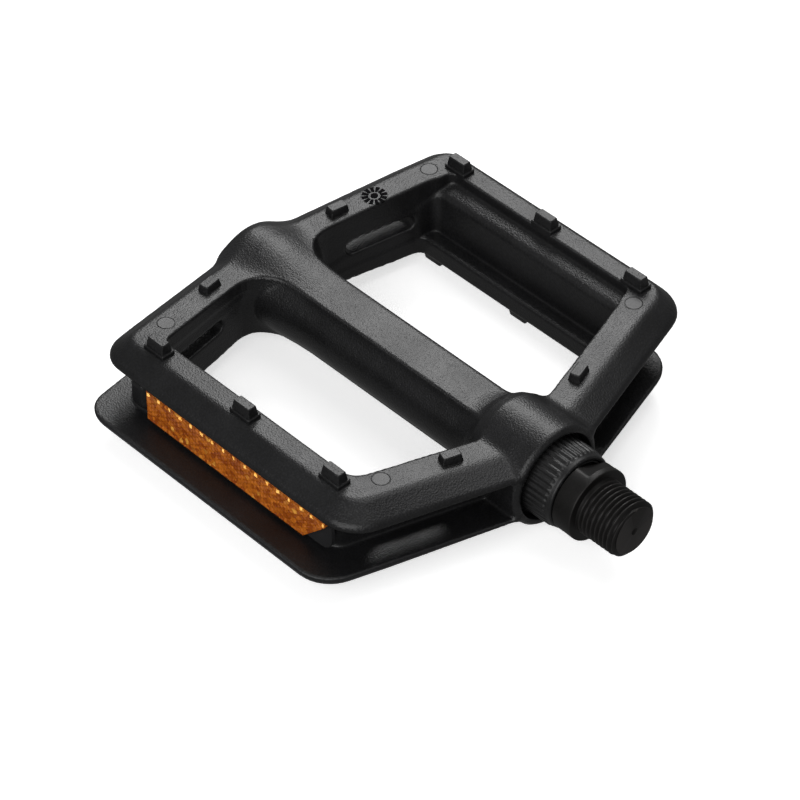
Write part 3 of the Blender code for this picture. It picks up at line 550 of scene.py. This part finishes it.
def surface(name, dark, light, rough, metallic=0.0, grain=3200.0, depth=0.00003, edge_tint=None,
            specular=0.5, stretch=None):
    """Grained material: blotchy colour, a set colour on sharp edges (found by pointiness) where edge_tint
    is given, uneven gloss, fine relief.
    """
    made, tree, shader = nodes_of(name)
    broad, fine = noise(tree, BLOTCH_SCALE, 4.0), noise(tree, grain, 0.5, 0.5, stretch)
    colour = ramp(tree, broad, ((0.3, dark), (0.7, light)))
    speck = ramp(tree, fine, ((0.35, 0.55), (0.7, 1.0)))
    blend = tree.nodes.new("ShaderNodeMix")
    blend.data_type, blend.blend_type = "RGBA", "MULTIPLY"
    blend.inputs["Factor"].default_value = 1.0
    first, second = [socket for socket in blend.inputs if socket.type == "RGBA"]
    tree.links.new(colour, first)
    tree.links.new(speck, second)
    colour = colour_output(blend)
    # Sharp edges, found by pointiness, take the edge_tint colour.
    if edge_tint is not None:
        geometry = tree.nodes.new("ShaderNodeNewGeometry")
        edge = ramp(tree, geometry.outputs["Pointiness"], EDGE_TINT_RAMP)
        colour = mix(tree, edge, colour, edge_tint)
    tree.links.new(colour, shader.inputs["Base Color"])
    tree.links.new(ramp(tree, broad, ((0.25, rough[0]), (0.75, rough[1]))), shader.inputs["Roughness"])
    shader.inputs["Metallic"].default_value = metallic
    shader.inputs["Specular IOR Level"].default_value = specular
    ripple = bump(tree, noise(tree, RIPPLE_SCALE, 2.0), depth * RIPPLE_SHARE, RIPPLE_STRENGTH)
    tree.links.new(bump(tree, fine, depth, GRAIN_STRENGTH, ripple), shader.inputs["Normal"])
    return made


def lens_material():
    """Amber plastic in small cells of painted uneven brightness, standing in for prisms catching the light,
    with a few cells painted as glints.
    """
    made, tree, shader = nodes_of("amber_prisms")
    coordinates = tree.nodes.new("ShaderNodeTexCoord")
    cells = tree.nodes.new("ShaderNodeTexVoronoi")
    cells.inputs["Scale"].default_value = PRISM_CELL_SCALE
    tree.links.new(coordinates.outputs["Object"], cells.inputs["Vector"])
    split = tree.nodes.new("ShaderNodeSeparateColor")
    tree.links.new(cells.outputs["Color"], split.inputs["Color"])
    base = ramp(tree, split.outputs["Red"], ((0.1, AMBER_DARK), (0.9, AMBER_LIGHT)))
    # Painted glints: a few cells take the bright AMBER_GLINT colour in place of highlights.
    glint = ramp(tree, split.outputs["Green"], ((0.965, 0.0), (0.99, 1.0)))
    tree.links.new(mix(tree, glint, base, AMBER_GLINT), shader.inputs["Base Color"])
    tree.links.new(ramp(tree, split.outputs["Blue"], ((0.0, 0.08), (1.0, 0.3))), shader.inputs["Roughness"])
    shader.inputs["Coat Weight"].default_value = 0.6
    shader.inputs["Coat Roughness"].default_value = 0.06
    tree.links.new(bump(tree, noise(tree, 2600.0), 0.00004, 0.5), shader.inputs["Normal"])
    return made


def glint_material():
    """Painted glints: bright spots along the lens's upper edge, which also glow by emission though no lamp
    is there.
    """
    made, tree, shader = nodes_of("painted_prism_glint")
    colour = ramp(tree, noise(tree, 1800.0), ((0.3, GLINT_DARK), (0.7, GLINT_LIGHT)))
    tree.links.new(colour, shader.inputs["Base Color"])
    # The painted glints glow by emission too, though they are no lamp.
    tree.links.new(colour, shader.inputs["Emission Color"])
    shader.inputs["Emission Strength"].default_value = 0.55
    shader.inputs["Roughness"].default_value = 0.15
    return made


def make_materials():
    """Every finish, by slot: dark and light colour, then the range of roughness."""
    return {
        "cage": surface("black_nylon", (0.009, 0.009, 0.0095), (0.014, 0.014, 0.015), (0.33, 0.42),
                        grain=2500.0, depth=0.0001, specular=0.42),
        "mark": surface("nylon_mark", (0.016, 0.016, 0.017), (0.024, 0.024, 0.025), (0.36, 0.44)),
        "dial": surface("nylon_dial", (0.003, 0.003, 0.0035), (0.005, 0.005, 0.0055), (0.8, 0.9),
                        specular=0.06),
        "sleeve": surface("sleeve_plastic", (0.009, 0.009, 0.0095), (0.014, 0.014, 0.0145), (0.34, 0.44),
                          edge_tint=(0.03, 0.03, 0.031), depth=0.00002, specular=0.4),
        "spindle": surface("black_oxide", (0.009, 0.0085, 0.008), (0.016, 0.015, 0.0145), (0.4, 0.52),
                           metallic=0.3, grain=4200.0, depth=0.000012, edge_tint=(0.05, 0.046, 0.044),
                           specular=0.3, stretch=(1.0, 3.0, 3.0)),
        "bearing": surface("ground_steel", (0.48, 0.48, 0.5), (0.6, 0.6, 0.62), (0.14, 0.24),
                           metallic=1.0, grain=5200.0, depth=0.000004, stretch=(6.0, 1.0, 1.0)),
        "balls": surface("ball_steel", (0.6, 0.6, 0.62), (0.7, 0.7, 0.72), (0.05, 0.1),
                         metallic=1.0, grain=5200.0, depth=0.000001),
        "zinc": surface("zinc_plate", (0.42, 0.43, 0.45), (0.55, 0.56, 0.57), (0.28, 0.42),
                        metallic=1.0, grain=2600.0, depth=0.000008),
        "seal": surface("seal_rubber", (0.012, 0.012, 0.012), (0.02, 0.02, 0.02), (0.7, 0.85),
                        depth=0.00002),
        "tray": surface("tray_plastic", (0.018, 0.018, 0.019), (0.026, 0.026, 0.028), (0.45, 0.6)),
        "lens": lens_material(),
        "glint": glint_material(),
    }


def place(made, body, slot, materials, *nodes, look=None):
    """Ride a piece on its body, give it its finish and hide the nodes that it stands for."""
    made.data.materials.clear()
    made.data.materials.append(materials[look or slot])
    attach(made, body)
    if nodes:
        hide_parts(*nodes)


# ---------------------------------------------------------------- pieces

def make_moulding(materials):
    """The cage, surfaced from its field."""
    cell = CELL
    low = (OUTER_END_X - FIELD_MARGIN, -FIELD_HALF_WIDTH, -FIELD_HALF_HEIGHT)
    high = (MOUTH_X + FIELD_MARGIN, FIELD_HALF_WIDTH, FIELD_HALF_HEIGHT)
    points, faces = dual_contour(moulding, low, high, cell)
    made = to_object("cage_moulding", points, faces)
    made.data.normals_split_custom_set_from_vertices(slope_of(moulding, points, SHADING_STEP))
    place(made, "cage", "cage", materials, "pedal_body")


def pin_rings(heights, root):
    """The rings of one pin, as (growth of its half sizes, height): plinth, taper, bevelled top."""
    foot, top = heights
    ledge = foot - PLINTH_DROP
    return [(PLINTH_FLARE, root), (PLINTH_FLARE, ledge - PIN_BEVEL), (PLINTH_FLARE - PIN_BEVEL, ledge),
            (PIN_FLARE, ledge), (PIN_BEVEL / 2, top - PIN_BEVEL), (-PIN_BEVEL / 2, top)]


def pin_spots():
    """Each upper pin's x, y, turn, half sizes and heights of foot and top."""
    spots = [(x, y, 0.0, SIDE_PIN_HALF, SIDE_PIN_HEIGHTS)
             for y in (SIDE_PIN_FRONT, SIDE_PIN_REAR) for x in (-SIDE_PIN_PITCH, 0.0, SIDE_PIN_PITCH)]
    for x, slope in ((END_PIN_CRANK, -END_PIN_CRANK_SLOPE), (END_PIN_OUTER, FACE["outer_slope"])):
        for side in (1, -1):
            turn = side * (math.pi / 2 - math.atan(slope))
            spots.append((x, side * END_PIN_Y, turn, END_PIN_HALF, END_PIN_HEIGHTS))
    return spots


def make_pins(materials):
    """The grip pins of both faces, ten to a face, each a closed block sunk in the moulding."""
    points, faces = [], []
    for x, y, turn, half, heights in pin_spots():
        rings = pin_rings(heights, face_height(y) - PIN_SUNK)
        for up in (1, -1):
            first = len(points)
            for grow, height in rings:
                u, v = half[0] + grow, half[1] + grow
                corners = [(a * u, b * v, PIN_CORNER) for a, b in ((1, 1), (-1, 1), (-1, -1), (1, -1))]
                for spot in rounded_outline(corners, PIN_ARC_STEPS):
                    spot = Matrix.Rotation(turn, 2) @ Vector(spot)
                    points.append((x + spot.x, up * (y + spot.y), up * height))
            count = (len(points) - first) // len(rings)
            for row in range(len(rings) - 1):
                here, there = first + row * count, first + (row + 1) * count
                for i in range(count):
                    j = (i + 1) % count
                    faces.append((here + i, here + j, there + j, there + i))
            faces += [range(first, first + count), range(len(points) - count, len(points))]
    place(to_object("grip_pins", points, faces, sharp=SHARP["pins"]), "cage", "cage", materials)


def spindle_radius(x, r, angles):
    """The spindle's radius: thread, wrench flats or plain, in world x."""
    radii = np.full(len(angles), r)
    if THREAD_START < x <= THREAD_LENGTH - THREAD_END_PLAIN and r > THREAD_LEAST_RADIUS:
        phase = (x / THREAD_PITCH + angles / (2 * math.pi)) % 1.0
        ridge = np.clip(THREAD_STEEPNESS * np.abs(2 * phase - 1) - THREAD_ROOT, 0.0, 1.0)
        fade = np.clip((x - THREAD_START) / THREAD_FADE, 0.0, 1.0)
        radii = radii - THREAD_DEPTH * (1.0 - ridge) * fade
    if -COLLAR_LENGTH - FLATS_MARGIN <= x < FLATS_END_X:
        away = np.abs(np.sin(angles - math.radians(FLATS_TURN)))
        radii = np.minimum(radii, FLATS_HALF / np.maximum(away, LEAST_SINE))
    return radii


def make_spindle(materials):
    """The axle: forged collar with wrench flats and a left-hand thread."""
    race = []
    for degrees in RACE_ANGLES:
        angle = math.radians(degrees)
        race.append((RACE_X + CAGE_X + RACE_RADIUS * math.cos(angle),
                     RACE_PITCH_RADIUS + RACE_RADIUS * math.sin(angle)))
    collar = [(JOURNAL_END_X, JOURNAL_RADIUS), (-COLLAR_LENGTH, JOURNAL_RADIUS),
              (-COLLAR_LENGTH, COLLAR_RADIUS), (FLATS_END_X, COLLAR_RADIUS), (0.0, COLLAR_RADIUS),
              (0.0, THREAD_RADIUS), (PLAIN_START, THREAD_RADIUS)]
    path = list(SHAFT) + race + rounded_path(collar, SPINDLE_ROUND)
    last_turn = THREAD_LENGTH - TIP_LENGTH
    path += [(x, THREAD_RADIUS) for x in np.arange(THREAD_START, last_turn - TIP_GAP, THREAD_RING_STEP)]
    for ring in range(TIP_RINGS):
        share = ring / TIP_RINGS
        path.append((last_turn + share * TIP_LENGTH, THREAD_RADIUS - share * TIP_DROP))
    path += [(THREAD_LENGTH - depth, radius) for depth, radius in END_RINGS]
    points, faces = turned_grid(path, SPINDLE_STEPS, spindle_radius)
    made = to_object("threaded_spindle", points, faces, 0.0, sharp=SHARP["turned"])
    place(made, "axle", "spindle", materials, "spindle")


def sleeve_radius(x, r, angles):
    """The lock sleeve's radius: fine ribs outside, plain at its ends and inside."""
    rise, fall = (x - RIB_SPAN[0]) / RIB_FADE, (RIB_SPAN[1] - x) / RIB_FADE
    share = np.clip(rise, 0.0, 1.0) * np.clip(fall, 0.0, 1.0) * (r > RIB_LEAST_RADIUS)
    wave = 0.5 + 0.5 * np.cos(RIB_COUNT * angles)
    return r - RIB_DEPTH * share * np.clip(RIB_WIDTH * wave - RIB_GROOVE, 0.0, 1.0)


def make_sleeve(materials):
    """The lock sleeve: fine ribs, then a plain band before the collar."""
    path = rounded_path([*SLEEVE_SECTION, SLEEVE_SECTION[0]], SLEEVE_ROUND)[:-1]
    points, faces = turned_grid(path, SLEEVE_STEPS, sleeve_radius, closed=True)
    made = to_object("ribbed_sleeve", points, faces, sharp=SHARP["turned"])
    place(made, "cage", "sleeve", materials, "lock_sleeve")


def cap_radius(x, r, angles):
    """The dust cap's radius: round, but a hexagon inside the socket."""
    radii = np.full(len(angles), r)
    if r > SOCKET_RADIUS:
        return radii
    turn = (angles + math.pi / 6) % (math.pi / 3) - math.pi / 6
    return radii * math.cos(math.pi / 6) / np.cos(turn)


def make_cap(materials):
    """The outboard dust cap, dished, with a hexagon socket."""
    points, faces = turned_grid(rounded_path(CAP_SECTION, CAP_ROUND), CAP_STEPS, cap_radius)
    made = to_object("dust_cap_shell", points, faces, sharp=SHARP["turned"])
    place(made, "cage", "cage", materials, "dust_cap")


def lens_sheet():
    """The rear lens's outer face as a grid of points: plain border, rows of small prisms."""
    (low_x, high_x), (low_z, high_z) = LENS_X, LENS_Z
    xs, zs = np.arange(low_x, high_x, LENS_CELL), np.linspace(low_z, high_z, LENS_ROWS)
    gx, gz = np.meshgrid(xs, zs, indexing="ij")
    pull = np.clip(LENS_CUT - (gz - low_z), 0.0, LENS_CUT)
    gx = gx - pull * np.clip((gx - (high_x - LENS_CUT_LENGTH)) / LENS_CUT_LENGTH, 0.0, 1.0)
    lean = gx * PRISM_LEAN[0] + gz * PRISM_LEAN[1]
    ridges = [np.abs((along / PRISM_PITCH) % 1 - 0.5) for along in (gx, lean)]
    depth = PRISM_DEPTH * np.minimum(*ridges) * 2
    edge = np.minimum.reduce([gx - low_x, high_x - gx - pull, gz - low_z, high_z - gz])
    inside = np.clip((edge - LENS_BORDER) / BORDER_STEP, 0.0, 1.0)
    border = np.clip((LENS_BORDER - edge) / LENS_BORDER, 0.0, 1.0)
    return np.stack([gx, LENS_FACE_Y + BORDER_ROUND * border ** 2 + (PRISM_SINK + depth) * inside, gz], -1)


def make_lens(side, materials):
    """A reflector lens, closed by a flat back; the front one is turned half round the spindle."""
    sheet = lens_sheet()
    rows, columns = sheet.shape[:2]
    sheet = sheet.reshape(-1, 3)
    behind = sheet.copy()
    behind[:, 1] = LENS_BACK_Y
    points, faces = np.concatenate([sheet, behind]), []
    shift = rows * columns
    for i in range(rows - 1):
        for j in range(columns - 1):
            a, b = i * columns + j, (i + 1) * columns + j
            faces += [(a, b, b + 1, a + 1), (shift + a, shift + a + 1, shift + b + 1, shift + b)]
    rim = [i * columns for i in range(rows)] + [(rows - 1) * columns + j for j in range(1, columns)]
    rim += [i * columns + columns - 1 for i in range(rows - 2, -1, -1)] + list(range(columns - 2, 0, -1))
    faces += [(a, shift + a, shift + b, b) for a, b in zip(rim, rim[1:] + rim[:1])]
    turn = -1 if side == "front" else 1
    made = to_object("prism_lens_" + side, points * (1, turn, turn), faces, sharp=SHARP["lens"])
    place(made, "cage", "lens", materials, "reflector_lens_" + side)
    # Faces in a row along the upper edge take the painted glint finish.
    made.data.materials.append(materials["glint"])
    for polygon in made.data.polygons:
        spot = polygon.center / MM
        along = (spot.x - CAGE_X + GLINT_PITCH / 2) % GLINT_PITCH - GLINT_PITCH / 2
        in_row = GLINT_Z[0] < turn * spot.z < GLINT_Z[1] and abs(spot.y) > GLINT_LEAST_Y
        if in_row and abs(along) < GLINT_HALF_WIDTH:
            polygon.material_index = 1


def face_height(y):
    """Height of the upper face at some y."""
    share = min(1.0, max(0.0, (abs(y) - DISH_INNER) / (DISH_OUTER - DISH_INNER)))
    return PLATE_TOP - PLATE_DISH * (1.0 - share)


def disc(name, x, y, rings, up):
    """A small round mark that follows the face, from (radius, height) rings."""
    points, faces = [], []
    for radius, height in rings:
        for step in range(MARK_STEPS):
            angle = 2 * math.pi * step / MARK_STEPS
            across = y + radius * math.sin(angle)
            points.append((x + radius * math.cos(angle), up * across, up * (face_height(across) + height)))
    for row in range(len(rings) - 1):
        here, there = row * MARK_STEPS, (row + 1) * MARK_STEPS
        for i in range(MARK_STEPS):
            j = (i + 1) % MARK_STEPS
            faces.append((here + i, here + j, there + j, there + i))
    last = (len(rings) - 1) * MARK_STEPS
    faces += [list(range(MARK_STEPS)), list(range(last, last + MARK_STEPS))]
    return to_object(name, points, faces, sharp=SHARP["marks"])


def make_marks(materials):
    """Ejector pin marks on both faces."""
    for face, up in (("upper", 1), ("lower", -1)):
        for index, (x, y) in enumerate(MARK_SPOTS):
            made = disc(f"ejector_mark_{face}_{index + 1}", x, y, MARK_RINGS, up)
            place(made, "cage", "cage", materials, look="mark")


def make_dial(materials):
    """The plain round dial beside one end pin: wedge ticks round a hub."""
    place(disc("dial_hub", DIAL_X, DIAL_Y, DIAL_HUB, 1), "cage", "cage", materials, look="dial")
    inner, outer = zip(TICK_SPAN, TICK_HALF_WIDTHS)
    outline = ((*inner, -1), (*outer, -1), (*outer, 1), (*inner, 1))
    points, faces = [], []
    for tick in range(DIAL_TICKS):
        angle = math.tau * tick / DIAL_TICKS
        along = Vector((math.cos(angle), math.sin(angle)))
        across = Vector((-math.sin(angle), math.cos(angle)))
        base = len(points)
        for height, spread in ((-MARK_SUNK, 0.0), (DIAL_HEIGHT, TICK_SPREAD)):
            for r, half, side in outline:
                spot = along * (r - spread) + across * side * (half + spread)
                spot_y = DIAL_Y + spot.y
                points.append((DIAL_X + spot.x, spot_y, face_height(spot_y) + height))
        faces += [(base, base + 1, base + 2, base + 3), (base + 4, base + 5, base + 6, base + 7)]
        faces += [(base + i, base + (i + 1) % 4, base + 4 + (i + 1) % 4, base + 4 + i) for i in range(4)]
    made = to_object("dial_ticks", points, faces, sharp=SHARP["marks"])
    place(made, "cage", "cage", materials, look="dial")


def dress_kept_nodes(materials):
    """Give every CAD node that stays its finish."""
    slots = {entry["node"]: entry["material_slot"] for entry in frame["record"]["subparts"]}
    for name, node in frame["nodes"].items():
        if not node.hide_render:
            node.data.materials.clear()
            node.data.materials.append(materials[slots[name]])


# ---------------------------------------------------------------- stage

FLOOR_SIZE, FLOOR_GAP, FLOOR_GREY, FLOOR_GLOW = 6.0, 0.00005, 0.86, 0.62
WORLD_STRENGTH = 0.19

# Each lamp: place and aim from the cage's middle in metres, side in metres, power in watts.
LAMPS = dict(
    key=((-0.34, 0.3536, 0.4692), (0.01, 0.0, 0.0), 0.3, 2.15),
    top=((0.0, 0.25, 0.95), (0.0, 0.0, 0.0), 0.6, 2.0),
    fill=((0.35, -0.85, 0.55), (0.0, 0.0, 0.0), 1.0, 8.0))

VIEW_AZIMUTH, VIEW_ELEVATION, VIEW_DISTANCE = 46.47, 42.37, 842.28
VIEW_TARGET = (6.70, -2.47, -7.19)
FOCAL_LENGTH, SENSOR_WIDTH = 162.35, 36.0


def make_stage():
    """A pale floor under the lower pins, which glows a little so that it stays near white."""
    bpy.ops.mesh.primitive_plane_add(size=FLOOR_SIZE, location=(0, 0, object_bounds()[0][2] - FLOOR_GAP))
    floor = bpy.context.object
    floor.name = "floor"
    made, _, shader = nodes_of("pale_floor")
    shader.inputs["Base Color"].default_value = (FLOOR_GREY, FLOOR_GREY, FLOOR_GREY, 1.0)
    shader.inputs["Roughness"].default_value = 0.9
    shader.inputs["Specular IOR Level"].default_value = 0.1
    shader.inputs["Emission Color"].default_value = (1.0, 1.0, 1.0, 1.0)
    shader.inputs["Emission Strength"].default_value = FLOOR_GLOW
    floor.data.materials.append(made)
    floor.visible_glossy = False
    floor.visible_diffuse = False


def aim(thing, direction):
    """Point a lamp or camera, which both look down their own -Z, along a direction."""
    thing.rotation_euler = direction.to_track_quat("-Z", "Y").to_euler()


def make_lights():
    """Soft studio light: a box that the top faces mirror, a weak one overhead and a broad fill."""
    middle = Vector((CAGE_X * MM, 0.0, 0.0))
    for name, (spot, target, size, power) in LAMPS.items():
        data = bpy.data.lights.new(name, "AREA")
        data.size, data.energy = size, power
        lamp = bpy.data.objects.new(name, data)
        lamp.location = middle + Vector(spot)
        aim(lamp, Vector(target) - Vector(spot))
        bpy.context.scene.collection.objects.link(lamp)
    world = bpy.data.worlds.new("studio")
    world.use_nodes = True
    background = world.node_tree.nodes["Background"]
    background.inputs["Color"].default_value = (1.0, 1.0, 1.0, 1.0)
    background.inputs["Strength"].default_value = WORLD_STRENGTH
    bpy.context.scene.world = world
    bpy.context.scene.view_settings.view_transform = "Standard"


def make_camera():
    """A long lens, looking down on the crank end from the rear."""
    azimuth, elevation = math.radians(VIEW_AZIMUTH), math.radians(VIEW_ELEVATION)
    target = Vector((CAGE_X + VIEW_TARGET[0], *VIEW_TARGET[1:])) * MM
    back = Vector((math.sin(azimuth) * math.cos(elevation), -math.cos(azimuth) * math.cos(elevation),
                   math.sin(elevation)))
    data = bpy.data.cameras.new("view")
    data.lens, data.sensor_width = FOCAL_LENGTH, SENSOR_WIDTH
    data.clip_start, data.clip_end = 0.05, 20.0
    camera = bpy.data.objects.new("view", data)
    camera.location = target + back * VIEW_DISTANCE * MM
    aim(camera, -back)
    bpy.context.scene.collection.objects.link(camera)
    bpy.context.scene.camera = camera


def main():
    """Build every piece, the stage and the view."""
    for stray in ("Cube", "Light", "Camera"):
        if stray in bpy.data.objects:
            bpy.data.objects.remove(bpy.data.objects[stray])
    materials = make_materials()
    make_camera()
    make_lights()
    make_moulding(materials)
    make_pins(materials)
    make_spindle(materials)
    make_sleeve(materials)
    make_cap(materials)
    for side in ("front", "rear"):
        make_lens(side, materials)
    make_marks(materials)
    make_dial(materials)
    dress_kept_nodes(materials)
    make_stage()


main()
